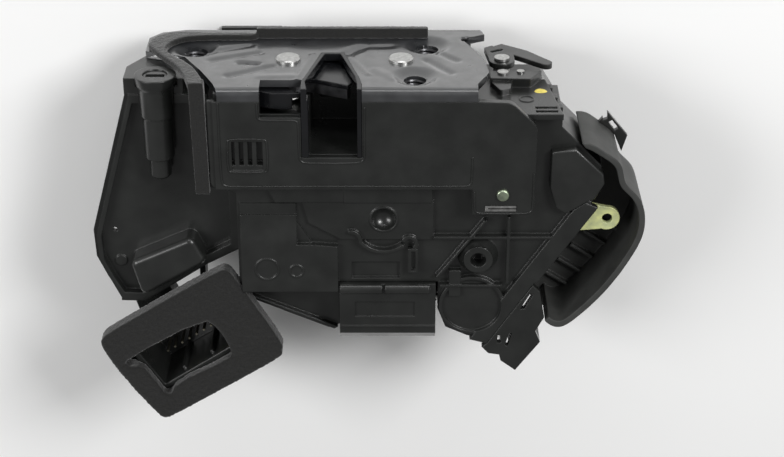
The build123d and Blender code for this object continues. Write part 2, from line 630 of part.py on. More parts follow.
# Rear shell
shell_outline = [
    (-41.5, carrier_bottom - 0.1), (47.4, carrier_bottom - 0.1), (47.4, -12.0), (71.0, -12.0), (75.8, -20.0),
    (80.0, -40.0), (75.0, -58.0), (52.0, -94.0), (46.0, -94.0), (38.0, -92.0), (34.8, -98.0), (2.0, -98.0),
    (-8.0, -94.0), (-33.2, -78.2), (-33.2, -41.0), (-41.5, -38.6),
]
shell_inner = [
    (-31.0, -38.6), (45.0, -38.6), (73.5, -38.6), (76.0, -44.0), (72.5, -57.0), (51.0, -90.5), (38.5, -89.0),
    (33.0, -95.5), (3.0, -95.5), (-7.0, -91.5), (-31.0, -76.5),
]
screw_places = [(-28.0, -44.0), (-27.5, -72.0), (68.0, -44.0), (50.0, -86.5)]
with BuildPart() as rear_shell:
    layer(shell_outline, shell_floor, parting)
    layer(shell_inner, shell_floor + wall, parting + 1, mode=Mode.SUBTRACT)
    block((-39.5, 45.4), (-36.6, carrier_bottom - 2.1), (shell_floor + wall, parting + 1), mode=Mode.SUBTRACT)
    block((49.4, 69.0), (-36.6, -25.0), (shell_floor + wall, parting + 1), mode=Mode.SUBTRACT)

    # Back of the latch block, and the deep pads that the module lies on
    block((-40.5, 46.5), (-34.0, -4.0), (back_face, plate_back_edge - 0.1))
    block((-38.0, 44.0), (-31.5, -6.5), (back_face - 1, back_face + 1.2), mode=Mode.SUBTRACT)
    for n in range(7):
        left = -27.4 + 10.0 * n
        block((left, left + 1.6), (-31.6, -6.4), (back_face, back_face + 1.4))
    block((-40.5, -19.4), (-4.0, -2.4), (back_face, back_face + 2.0))
    block((-38.0, 44.0), (-36.0, -34.0), (back_face, shell_floor))
    layer([(4.0, -74.0), (32.0, -74.0), (34.0, -96.0), (4.0, -96.0)], back_face, shell_floor, corner=2.0)
    rod_z((47.5, -78.0), 9.0, back_face + 4.0, shell_floor)

    # Stiffening ribs on the back
    for n in range(5):
        y = -42.0 - 7.0 * n
        block((-26.0, 62.0 - 4.0 * n), (y - 0.8, y), (shell_floor - 1.6, shell_floor))
    block((-4.0, -2.4), (-74.0, -38.0), (shell_floor - 1.6, shell_floor))
    block((30.0, 31.6), (-73.0, -38.0), (shell_floor - 1.6, shell_floor))

    # Cradle of the locking motor and seat of the wheel's axle
    for x in (8.0, 24.0):
        block((x, x + 2.0), (-95.5, -80.0), (shell_floor + 1, drive_level - 4.0))
    block((4.0, 32.0), (-89.0, -87.0), (shell_floor + 1, drive_level - motor_r - 2))
    with BuildSketch(Plane(origin=(0, worm_y, drive_level), z_dir=(1, 0, 0))) as motor_seat:
        Circle(motor_r + slip)
    extrude(motor_seat.sketch, amount=40, mode=Mode.SUBTRACT)
    rod_z(wheel_centre, 3.4, shell_floor + 1, drive_level - wheel_face / 2 - 0.4)
    rod_z(wheel_centre, axle_r + slip / 2, -6.0, 2, mode=Mode.SUBTRACT)

    # Screw bosses and the outside lever's pin seat
    for place in screw_places:
        rod_z(place, 3.2, shell_floor, parting)
    for place in screw_places:
        rod_z(place, 1.3 + slip / 2, shell_floor - 2, 0, mode=Mode.SUBTRACT)
        rod_z(place, 3.6, shell_floor - 5, shell_floor, mode=Mode.SUBTRACT)
    rod_y(outside_pivot, outside_pin_r + slip / 2, 0, -24.0, mode=Mode.SUBTRACT)
rear_shell.part.label = "rear_shell"
export_step(rear_shell.part, "parts/rear_shell.step")

# Screws that hold the rear shell
with BuildPart() as housing_screws:
    for place in screw_places:
        rod_z(place, 1.3, shell_floor, parting - 0.5)
        rod_z(place, 3.0, shell_floor - 1.4, shell_floor)
        with BuildSketch(Plane.XY.offset(shell_floor - 1.4)) as socket:
            with Locations(place):
                RegularPolygon(1.5, 6)
        extrude(socket.sketch, amount=0.9, mode=Mode.SUBTRACT)
housing_screws.part.label = "housing_screws"
export_step(housing_screws.part, "parts/housing_screws.step")

# Motor cover with its hinge rod
cover_top = 17.5
cover_x = (1.2, 34.5)
cover_y = (-98.4, -75.6)
with BuildPart() as motor_cover:
    block(cover_x, cover_y, (parting, cover_top))
    lower_edge = motor_cover.edges().filter_by(Axis.X).group_by(Axis.Z)[-1].sort_by(Axis.Y)
    chamfer(lower_edge[0], 3.2, 3.2)
    inside_x = (cover_x[0] + 1.1, cover_x[1] - 1.1)
    inside_y = (cover_y[0] + 1.1, cover_y[1] - 1.1)
    block(inside_x, inside_y, (parting - 1, 13.6), mode=Mode.SUBTRACT)
    panel_low = cover_top - 0.6
    block((6.6, 27.2), (-88.6, -82.8), (panel_low, far_off), mode=Mode.SUBTRACT)
    block((cover_x[0], cover_x[1]), (-92.6, -92.0), (cover_top, cover_top + 0.6))
    rod_x((-77.4, cover_top - 0.2), 1.9, 1.4, 16.0)
    rod_x((-77.4, cover_top - 0.2), 1.9, 17.0, 32.4)
    rod_x(worm_axis, 3.2, 30.0, 36.0, mode=Mode.SUBTRACT)
motor_cover.part.label = "motor_cover"
export_step(motor_cover.part, "parts/motor_cover.step")

# Locking motor with its flats and end bearing
with BuildPart() as lock_motor:
    rod_x(worm_axis, motor_r, motor_x[0], motor_x[1])
    for side in (-1, 1):
        flat = drive_level + side * (motor_r - 0.6)
        far = drive_level + side * (motor_r + 2)
        block((0, 40), (worm_y - 12, worm_y + 12), (min(flat, far), max(flat, far)), mode=Mode.SUBTRACT)
    rod_x(worm_axis, 3.0, motor_x[1], motor_x[1] + 1.2)
    rod_x(worm_axis, 1.0 + running, 20.0, 34.0, mode=Mode.SUBTRACT)
lock_motor.part.label = "lock_motor"
export_step(lock_motor.part, "parts/lock_motor.step")

# Motor shaft with the worm cut as one helical thread
worm_start = 39.5
worm_end = 54.8
thread_start = wheel_centre[0] - 2.25 * worm_pitch
thread_length = 11.5
with BuildPart() as worm:
    rod_x(worm_axis, 1.0, 20.2, 57.4)
    rod_x(worm_axis, worm_root_r, worm_start, worm_end)
    helix = Helix(
        pitch=worm_pitch, height=thread_length, radius=worm_root_r - 0.2,
        center=(thread_start, worm_y, drive_level), direction=(1, 0, 0), mode=Mode.PRIVATE,
    )
    outward = (helix @ 0) - Vector(thread_start, worm_y, drive_level)
    profile_plane = Plane(origin=helix @ 0, x_dir=outward, z_dir=helix % 0)
    with BuildSketch(profile_plane) as thread_profile:
        with Locations(((worm_outer_r - worm_root_r + 0.2) / 2, 0)):
            Rectangle(worm_outer_r - worm_root_r + 0.2, 0.8)
    sweep(thread_profile.sketch, path=helix, is_frenet=True)
worm.part.label = "worm"
export_step(worm.part, "parts/worm.step")

# Worm wheel with its pinion
with BuildPart() as worm_wheel:
    with BuildSketch(Plane.XY.offset(drive_level - wheel_face / 2)) as wheel_face_sketch:
        with Locations(wheel_centre):
            Circle(wheel_r - 0.9)
            with PolarLocations(wheel_r - 0.2, wheel_teeth, start_angle=-90):
                Rectangle(1.8, 0.8)
            Circle(axle_r + running, mode=Mode.SUBTRACT)
    extrude(amount=wheel_face)
    with BuildSketch(Plane.XY.offset(drive_level + wheel_face / 2)) as pinion_sketch:
        with Locations(wheel_centre):
            Circle(pinion_r - 1.1)
            with PolarLocations(pinion_r - 0.2, pinion_teeth, start_angle=90):
                Rectangle(2.2, 1.1)
            Circle(axle_r + running, mode=Mode.SUBTRACT)
    extrude(amount=4.0)
worm_wheel.part.label = "worm_wheel"
export_step(worm_wheel.part, "parts/worm_wheel.step")

# Steel axle of the worm wheel
with BuildPart() as wheel_axle:
    rod_z(wheel_centre, axle_r, -5.8, 14.8)
wheel_axle.part.label = "wheel_axle"
export_step(wheel_axle.part, "parts/wheel_axle.step")

# Locking slider, a rack driven by the pinion
rack_pitch = math.pi * pinion_module
rack_line = wheel_centre[1] + pinion_r
with BuildPart() as lock_slider:
    block((wheel_centre[0] - 24, wheel_centre[0] + 10), (rack_line + 1.3, rack_line + 4.6), (6.4, 9.6))
    for n in range(-2, 3):
        x = wheel_centre[0] + (n + 0.5) * rack_pitch
        block((x - 0.55, x + 0.55), (rack_line - 0.8, rack_line + 1.4), (6.4, 9.6))
    block((wheel_centre[0] - 24, wheel_centre[0] - 20), (rack_line + 1.3, rack_line + 12.0), (6.4, 9.6))
lock_slider.part.label = "lock_slider"
export_step(lock_slider.part, "parts/lock_slider.step")

# Microswitches and the stamped contact strip that feeds them
with BuildPart() as microswitches:
    for x in (-24.0, -10.0, 4.0):
        block((x, x + 8.5), (-62.0, -50.0), (6.6, deck - 0.8))
        block((x + 3.5, x + 5.0), (-50.0, -48.6), (8.2, 10.6))
microswitches.part.label = "microswitches"
export_step(microswitches.part, "parts/microswitches.step")
with BuildPart() as contact_strip:
    block((-30.0, 18.0), (-68.0, -64.0), (deck - 0.8, deck))
    for n in range(4):
        block((-28.0 + 12.0 * n, -26.0 + 12.0 * n), (-64.0, -52.0), (deck - 0.8, deck))
    block((8.5, 12.5), (-72.8, -68.0), (deck - 0.8, deck))
contact_strip.part.label = "contact_strip"
export_step(contact_strip.part, "parts/contact_strip.step")

# Upper cover at the right of the plate
upper_top = -9.9
with BuildPart() as upper_cover:
    sheet([(47.6, -8.0), (71.5, -8.0), (75.6, 20.9), (47.6, 20.9)], upper_top, 2.0)
    sheet([(52.6, -8.0), (70.2, -8.0), (66.0, -0.8), (52.6, -1.6)], upper_top + 3.2, 3.2)
    sheet([(52.6, -1.6), (59.8, -1.6), (59.0, 5.0), (55.6, 6.4)], upper_top + 2.2, 2.2, corner=0.9)
    for level in (14.6, 17.6):
        block((66.6, 74.0), (upper_top - 0.9, upper_top + 1), (level, level + 1.6), mode=Mode.SUBTRACT)
    for level in (-4.5, 3.5, 11.5):
        block((71.0, 74.2 + 0.14 * level), (upper_top - 1.8, upper_top - 0.3), (level, level + 3.2))
    rod_y((64.2, 8.6), 2.6, upper_top + 0.3, upper_top)
    rod_y((64.2, 8.6), 2.1, upper_top + 0.4, upper_top, mode=Mode.SUBTRACT)
    for place in ((57.0, -6.0), (63.0, -6.6)):
        rod_y(place, 1.0 + slip / 2, 0, -13.0, mode=Mode.SUBTRACT)
upper_cover.part.label = "upper_cover"
export_step(upper_cover.part, "parts/upper_cover.step")

# Two rivets of the upper cover
with BuildPart() as upper_rivets:
    for place, size in (((57.0, -6.0), 1.9), ((63.0, -6.6), 1.3)):
        rod_y(place, 1.0, upper_top + 3.2, -12.0)
        rod_y(place, size, upper_top + 3.8, upper_top + 3.2)
upper_rivets.part.label = "upper_rivets"
export_step(upper_rivets.part, "parts/upper_rivets.step")

# Outside release lever, a flat bell crank on its pin
with BuildPart() as outside_lever:
    with BuildSketch(facing_out(outside_level)) as lever_plan:
        with Locations(outside_pivot):
            Circle(4.4)
        Polygon(
            (52.6, -15.0), (51.4, -25.0), (54.0, -27.0), (61.2, -21.5), (61.4, -14.0), (57.0,
            -10.1), align=None,
        )
        Polygon(
            (55.0, -26.6), (57.6, -28.6), (66.0, -22.6), (73.4, -13.6), (70.6, -10.6), (61.0,
            -19.0), align=None,
        )
        with Locations((72.0, -12.1)):
            Circle(2.05)
        with Locations(outside_pivot):
            Circle(outside_pin_r + running, mode=Mode.SUBTRACT)
        with Locations((55.6, -22.4)):
            SlotOverall(5.0, 1.6, rotation=-30, mode=Mode.SUBTRACT)
    extrude(amount=lever_sheet)
outside_lever.part.label = "outside_lever"
export_step(outside_lever.part, "parts/outside_lever.step")

# Pin and torsion spring of the outside lever
with BuildPart() as outside_lever_pin:
    rod_y(outside_pivot, outside_pin_r, outside_level + 1.0, -23.5)
    rod_y(outside_pivot, 2.6, outside_level + 1.0, outside_level + 0.15)
outside_lever_pin.part.label = "outside_lever_pin"
export_step(outside_lever_pin.part, "parts/outside_lever_pin.step")
with BuildPart() as outside_lever_spring:
    with BuildSketch(Plane(origin=(outside_pivot[0], 0, outside_pivot[1]))) as outside_wires:
        for turn in range(5):
            with Locations((2.4, outside_level - lever_sheet - 0.6 - turn * 0.84)):
                Circle(0.45)
    revolve(outside_wires.sketch, axis=Axis((outside_pivot[0], 0, outside_pivot[1]), (0, 1, 0)))
outside_lever_spring.part.label = "outside_lever_spring"
export_step(outside_lever_spring.part, "parts/outside_lever_spring.step")

# Inside release lever of yellow zinc, with its cable eye
with BuildPart() as inside_lever:
    with BuildSketch(Plane.XY.offset(inside_level)) as inside_plan:
        with Locations(inside_pivot):
            Circle(5.6)
        with Locations(eye):
            Circle(4.3)
        Polygon((71.5, -44.4), (92.6, -48.92), (91.0, -57.2), (78.0, -58.4), (70.0, -55.4), align=None)
        with Locations(inside_pivot):
            Circle(inside_pin_r + running, mode=Mode.SUBTRACT)
        with Locations(eye):
            Circle(eye_r, mode=Mode.SUBTRACT)
    extrude(amount=lever_sheet)
inside_lever.part.label = "inside_lever"
export_step(inside_lever.part, "parts/inside_lever.step")

# Pin of the inside lever
with BuildPart() as inside_lever_pin:
    rod_z(inside_pivot, inside_pin_r, 1.2, 14.9)
    rod_z(inside_pivot, 3.2, inside_level - 1.3, inside_level - 0.2)
inside_lever_pin.part.label = "inside_lever_pin"
export_step(inside_lever_pin.part, "parts/inside_lever_pin.step")

# Raised cap over the inside lever
cap_outline = [
    (72.4, -24.6), (80.6, -23.4), (90.0, -32.6), (90.6, -36.4), (87.6, -42.0), (84.6, -43.4), (80.3, -46.3),
    (77.8, -47.6), (74.6, -45.4), (72.2, -37.6),
]
with BuildPart() as lever_cap:
    layer(cap_outline, housing_base, housing_face + 0.7)
    top_rim = lever_cap.edges().filter_by(Axis.Z, reverse=True).group_by(Axis.Z)[-1]
    fillet(top_rim, radius=0.8)
lever_cap.part.label = "lever_cap"
export_step(lever_cap.part, "parts/lever_cap.step")

# Cable guard: tray, ribs and deep curved wall
guard_points = [
    (82.4, -21.4), (85.4, -21.6), (90.0, -24.4), (95.7, -29.4), (97.7, -36.1), (101.7, -40.6),
    (104.9, -49.4), (104.4, -56.0), (101.4, -63.6), (83.0, -88.6), (78.0, -91.9), (72.6, -89.6),
]
guard_inner = [
    (83.6, -23.0), (85.0, -23.6), (88.9, -26.0), (94.0, -30.5), (95.9, -36.9), (99.9, -41.5),
    (102.9, -49.6), (102.4, -55.6), (99.5, -62.8), (81.8, -86.8), (77.6, -89.6), (73.8, -87.9),
]
tray_left = [(65.3, -79.6), (86.5, -46.8), (89.7, -36.4), (89.7, -30.9)]
tray_lip = [(91.0, -30.4), (91.0, -36.6), (87.8, -47.4), (66.6, -80.2)]
tray_foot = [(75.5, -86.0), (78.0, -91.5), (75.5, -95.8), (71.6, -98.6), (69.9, -96.6), (66.8, -82.0)]
rib_first = (91.1, -59.8)
with BuildPart() as cable_guard:
    with BuildSketch(Plane.XY.offset(tray_bottom)) as tray_plan:
        with BuildLine() as tray_edge:
            round_side = Spline(*guard_points)
            Polyline(round_side @ 1, *tray_left, round_side @ 0)
        make_face(tray_edge.edges())
    extrude(tray_plan.sketch, amount=tray_top - tray_bottom)
    with BuildSketch(Plane.XY.offset(tray_top)) as wall_plan:
        with BuildLine() as wall_edge:
            outer_side = Spline(*guard_points)
            inner_side = Spline(*guard_inner)
            Line(outer_side @ 0, inner_side @ 0)
            Line(outer_side @ 1, inner_side @ 1)
        make_face(wall_edge.edges())
    extrude(wall_plan.sketch, amount=guard_rim - tray_top)
    layer(tray_foot, tray_bottom, tray_top)
    layer(tray_left + tray_lip, tray_top, inside_level - 2.4)
    for n in range(5):
        root = (rib_first[0] - 4.2 * n, rib_first[1] - 5.5 * n)
        tip = (root[0] + 8.0, root[1] - 5.2)
        layer(
            [root, tip, (tip[0] - 0.6, tip[1] - 0.9), (root[0] - 0.6, root[1] - 0.9)], tray_top,
            tray_top + 2.2,
        )
cable_guard.part.label = "cable_guard"
export_step(cable_guard.part, "parts/cable_guard.step")

# Slotted ear on the guard's outer side
with BuildPart() as slotted_ear:
    ear_low = tray_bottom - 1
    layer(
        [(90.3, -24.5), (93.2, -20.8), (100.4, -29.6), (98.6, -35.6), (96.0, -29.4)], tray_bottom,
        tray_bottom + 2,
    )
    layer([(93.6, -24.6), (94.8, -23.8), (97.2, -27.0), (96.0, -27.8)], ear_low, far_off, mode=Mode.SUBTRACT)
    layer([(91.0, -20.0), (93.0, -19.6), (93.2, -23.4), (91.8, -23.8)], ear_low, far_off, mode=Mode.SUBTRACT)
    add(cable_guard.part, mode=Mode.SUBTRACT)
slotted_ear.part.label = "slotted_ear"
export_step(slotted_ear.part, "parts/slotted_ear.step")

# Cable clip: a short channel under a slotted flange, at the tray's lower mouth
clip_outline = [
    (67.9, -75.6), (70.4, -78.2), (72.3, -88.4), (69.4, -94.0), (71.2, -98.4), (62.8, -110.0), (57.6, -106.0),
    (57.0, -103.6), (53.2, -103.0), (50.8, -100.4), (52.7, -98.9),
]
with BuildPart() as cable_clip:
    layer(clip_outline, housing_face - 2.5, housing_face)
    clip_top = housing_face - 2.5
    layer([(62.8, -110.0), (61.2, -108.4), (69.6, -96.8), (71.2, -98.4)], tray_top, clip_top)
    layer([(57.6, -106.0), (58.6, -105.4), (58.6, -96.0), (57.6, -96.0)], tray_top, clip_top)
    clip_floor = [(63.2, -106.9), (57.6, -103.2), (57.6, -96.0), (60.5, -94.5), (63.0, -99.5), (67.3, -101.3)]
    layer(clip_floor, tray_bottom, tray_top)
    layer(
        [(63.8, -85.0), (65.2, -85.0), (68.4, -79.0), (67.1, -79.0)], clip_top - 1, far_off,
        mode=Mode.SUBTRACT,
    )
    layer(
        [(56.2, -98.8), (57.5, -98.8), (57.1, -95.7), (56.4, -95.7)], clip_top - 1, far_off,
        mode=Mode.SUBTRACT,
    )
    layer(
        [(58.9, -100.0), (59.9, -100.0), (61.3, -94.7), (60.3, -94.7)], clip_top - 1, far_off,
        mode=Mode.SUBTRACT,
    )
cable_clip.part.label = "cable_clip"
export_step(cable_clip.part, "parts/cable_clip.step")

# Left wing that carries the key cylinder tube and the connector
arm_outline = [
    (-48.0, -8.3), (-69.8, -8.3), (-84.3, -61.2), (-83.9, -71.5), (-80.5, -79.5), (-76.4, -87.2),
    (-67.3, -87.5),
    (-44.8, -72.6), (-33.3, -66.5), (-33.3, -41.2), (-41.8, -38.7), (-41.8, -8.3),
]
hood = [(-71.2, -69.5), (-49.2, -59.6), (-44.4, -69.5), (-67.6, -83.6)]
panel = 5.5
rim_inset = 3.2
outer_step = [
    (-68.0, 0.0), (-90.0, -50.0), (-90.0, -95.0), (-75.9, -88.0), (-75.6, -86.2), (-79.0, -78.8),
    (-82.3, -71.2),
    (-82.7, -61.3), (-68.6, -9.8),
]
shelf = [
    (-64.0, -12.0), (-69.8, -2.0), (-69.8, 8.0), (-50.0, 8.0), (-50.0, -4.6), (-53.8, -5.4), (-53.8, -12.0),
]
with BuildPart() as connector_arm:
    layer(arm_outline, wing_back, wing_face)
    with BuildSketch(Plane.XY.offset(panel)) as rim_inner:
        Polygon(*arm_outline, align=None)
        offset(amount=-rim_inset, kind=Kind.INTERSECTION)
    extrude(rim_inner.sketch, amount=wing_face, mode=Mode.SUBTRACT)
    layer(outer_step, wing_face - 4.0, far_off, mode=Mode.SUBTRACT)
    layer(hood, panel, wing_face + 5.0, corner=2.6)
    hood_top = connector_arm.edges().group_by(Axis.Z)[-1]
    fillet(hood_top, 2.0)
    with BuildSketch(Plane.XY.offset(wing_back)) as arm_inner:
        Polygon(*arm_outline, align=None)
        offset(amount=-wall, kind=Kind.INTERSECTION)
    extrude(arm_inner.sketch, amount=panel - wall - wing_back, mode=Mode.SUBTRACT)
    for y in (-24.0, -40.0, -56.0, -70.0):
        block((-62.0, -60.4), (y - 8, y), (wing_back + 4, panel - wall))
    sheet(shelf, plate_back - 0.2, 5.8)
    layer([(-74.0, -85.4), (-62.0, -81.0), (-56.3, -93.7), (-69.1, -102.1)], -8.0, 0)
    layer([(-48.6, -74.0), (-46.6, -73.2), (-46.6, -87.2), (-48.6, -88.5)], -8.0, 0)
    rod_z((-75.2, -72.6), 2.1, panel, panel + 0.6)
    rod_z((-76.6, -60.5), 0.8, 0, far_off, mode=Mode.SUBTRACT)
    rod_y(tube_axis, tube_head_r + slip, 0, -5.6, mode=Mode.SUBTRACT)
    rod_y(tube_axis, tube_upper[0] + slip, 0, tube_upper[1] - 0.7, mode=Mode.SUBTRACT)
    rod_y(tube_axis, tube_middle[0] + slip, 0, tube_middle[1] - 0.7, mode=Mode.SUBTRACT)
    rod_y(tube_axis, tube_foot_r + slip, 0, tube_foot - 0.3, mode=Mode.SUBTRACT)
connector_arm.part.label = "connector_arm"
export_step(connector_arm.part, "parts/connector_arm.step")

# Key cylinder tube, open at the plate's side, with a tapered mouth
with BuildPart() as cylinder_tube:
    with BuildSketch(Plane(origin=(tube_axis[0], 0, tube_axis[1]))) as tube_profile:
        Polygon(
            (0, tube_mouth), (tube_head_r, tube_mouth), (tube_head_r - 0.4, -3.6),
            (tube_upper[0], -5.4), tube_upper,
            (tube_middle[0], tube_upper[1] - 0.4), tube_middle, (tube_foot_r, tube_middle[1] - 0.6),
            (tube_foot_r, tube_foot + 1.2), (tube_foot_r - 1.2, tube_foot), (0, tube_foot), align=None,
        )
    revolve(tube_profile.sketch, axis=Axis((tube_axis[0], 0, tube_axis[1]), (0, 1, 0)))
    rod_y(tube_axis, rotor_r + running, 1, tube_mouth - 0.5 - rotor_depth - 0.1, mode=Mode.SUBTRACT)
cylinder_tube.part.label = "cylinder_tube"
export_step(cylinder_tube.part, "parts/cylinder_tube.step")

# Rotor in the tube's mouth, with a slot for the key cylinder's tail
rotor_top = tube_mouth - 0.5
with BuildPart() as lock_rotor:
    rod_y(tube_axis, rotor_r, rotor_top, rotor_top - rotor_depth)
    slot_x = (tube_axis[0] - 3.1, tube_axis[0] + 3.1)
    slot_z = (tube_axis[1] - 1.1, tube_axis[1] + 1.1)
    block(slot_x, (rotor_top - 8, 0), slot_z, mode=Mode.SUBTRACT)
lock_rotor.part.label = "lock_rotor"
export_step(lock_rotor.part, "parts/lock_rotor.step")


def plug_box(u, v, z, mode=Mode.ADD):
    """A block square to the connector, by its limits from the connector's centre."""
    turn = math.radians(plug_turn)
    middle = ((u[0] + u[1]) / 2, (v[0] + v[1]) / 2)
    x = plug_centre[0] + middle[0] * math.cos(turn) - middle[1] * math.sin(turn)
    y = plug_centre[1] + middle[0] * math.sin(turn) + middle[1] * math.cos(turn)
    with Locations(Location((x, y, (z[0] + z[1]) / 2), (0, 0, plug_turn))):
        Box(u[1] - u[0], v[1] - v[0], z[1] - z[0], mode=mode)


# Connector socket with its flange
half_u, half_v = socket_size[0] / 2, socket_size[1] / 2
with BuildPart() as connector_socket:
    plug_box((-half_u, half_u), (-half_v, half_v), (socket_back, socket_front))
    plug_box((-20.5, 25.5), (-15.5, 15.5), plug_flange)
    inner_u, inner_v = half_u - socket_wall, half_v - socket_wall
    plug_box((-inner_u, inner_u), (-inner_v, inner_v), (socket_back + wall, far_off), mode=Mode.SUBTRACT)
    for u in (-6.0, 6.0):
        plug_box(
            (u - 0.6, u + 0.6), (-half_v + 1, -half_v + socket_wall + 1.6), (socket_back + wall,
            socket_front - 2),
        )
connector_socket.part.label = "connector_socket"
export_step(connector_socket.part, "parts/connector_socket.step")

# Two rows of connector pins
with BuildPart() as connector_pins:
    for row in (-2.4, 2.4):
        for n in range(8):
            u = -11.2 + 3.2 * n
            plug_box(
                (u - 0.35, u + 0.35), (row - 0.35, row + 0.35), (socket_back + wall,
                socket_back + wall + 8),
            )
connector_pins.part.label = "connector_pins"
export_step(connector_pins.part, "parts/connector_pins.step")

# Foam seal round the connector
foam_shift = (foam_centre[0] - plug_centre[0], foam_centre[1] - plug_centre[1])
foam_u = foam_shift[0] * math.cos(math.radians(plug_turn)) + foam_shift[1] * math.sin(math.radians(plug_turn))
foam_v = foam_shift[1] * math.cos(math.radians(plug_turn)) - foam_shift[0] * math.sin(math.radians(plug_turn))
with BuildPart() as connector_seal:
    half = (foam_size[0] / 2, foam_size[1] / 2)
    plug_box(
        (foam_u - half[0], foam_u + half[0]), (foam_v - half[1], foam_v + half[1]),
        (plug_flange[1], foam_front),
    )
    fillet(connector_seal.edges().filter_by(Axis.Z), radius=4.0)
    plug_box(
        (-half_u - slip, half_u + slip), (-half_v - slip, half_v + slip), (0, far_off),
        mode=Mode.SUBTRACT,
    )
connector_seal.part.label = "connector_seal"
export_step(connector_seal.part, "parts/connector_seal.step")
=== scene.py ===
import json
import math

import bmesh
import bpy
from mathutils import Matrix, Vector
from mathutils.bvhtree import BVHTree


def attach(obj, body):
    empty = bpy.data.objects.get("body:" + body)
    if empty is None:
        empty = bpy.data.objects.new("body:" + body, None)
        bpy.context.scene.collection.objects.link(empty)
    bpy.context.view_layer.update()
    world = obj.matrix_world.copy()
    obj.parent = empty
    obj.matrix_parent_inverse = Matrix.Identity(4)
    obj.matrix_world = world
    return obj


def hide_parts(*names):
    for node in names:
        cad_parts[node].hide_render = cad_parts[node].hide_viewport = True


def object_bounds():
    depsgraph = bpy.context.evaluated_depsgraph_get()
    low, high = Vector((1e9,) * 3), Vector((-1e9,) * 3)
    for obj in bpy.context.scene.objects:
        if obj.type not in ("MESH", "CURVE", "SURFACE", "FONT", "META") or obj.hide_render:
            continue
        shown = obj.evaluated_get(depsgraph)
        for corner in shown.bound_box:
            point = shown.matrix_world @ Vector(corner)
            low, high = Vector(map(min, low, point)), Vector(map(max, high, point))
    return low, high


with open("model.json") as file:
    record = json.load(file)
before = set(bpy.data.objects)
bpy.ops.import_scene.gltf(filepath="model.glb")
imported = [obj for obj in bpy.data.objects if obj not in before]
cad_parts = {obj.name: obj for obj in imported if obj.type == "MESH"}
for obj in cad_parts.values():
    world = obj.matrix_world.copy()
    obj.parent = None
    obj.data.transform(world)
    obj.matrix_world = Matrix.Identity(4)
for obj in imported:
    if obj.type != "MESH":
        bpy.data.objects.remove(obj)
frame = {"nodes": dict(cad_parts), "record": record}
cad_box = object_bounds()
scene = bpy.context.scene
MM = 0.001

# The photograph's width in pixels, and the camera fitted to it
IMAGE_WIDTH = 784
FOCAL_PIXELS = 1888.0
SENSOR = 36.0
CAMERA_PLACE = Vector((19.40, 247.07, 583.56)) * MM
CAMERA_TILT = math.radians(28.0)
CAMERA_CLIP = (0.05, 10.0)


def make_camera():
    data = bpy.data.cameras.new("camera")
    data.sensor_width = SENSOR
    data.lens = FOCAL_PIXELS / IMAGE_WIDTH * SENSOR
    data.clip_start, data.clip_end = CAMERA_CLIP
    camera = bpy.data.objects.new("camera", data)
    back = Vector((0.0, math.sin(CAMERA_TILT), math.cos(CAMERA_TILT)))
    up = Vector((0.0, math.cos(CAMERA_TILT), -math.sin(CAMERA_TILT)))
    right = Vector((1.0, 0.0, 0.0))
    turn = Matrix((right, up, back)).transposed().to_4x4()
    camera.matrix_world = Matrix.Translation(CAMERA_PLACE) @ turn
    scene.collection.objects.link(camera)
    scene.camera = camera


# Materials: the shares of a noise between which colour and roughness wander, the detail of
# the roughness noise, and the shader's samples along an edge
COLOUR_BAND = (0.32, 0.68)
ROUGHNESS_BAND = (0.3, 0.7)
ROUGHNESS_DETAIL = 5.0
LEAST_ROUGHNESS = 0.05
EDGE_SAMPLES = 6
EVEN = (1.0, 1.0, 1.0)


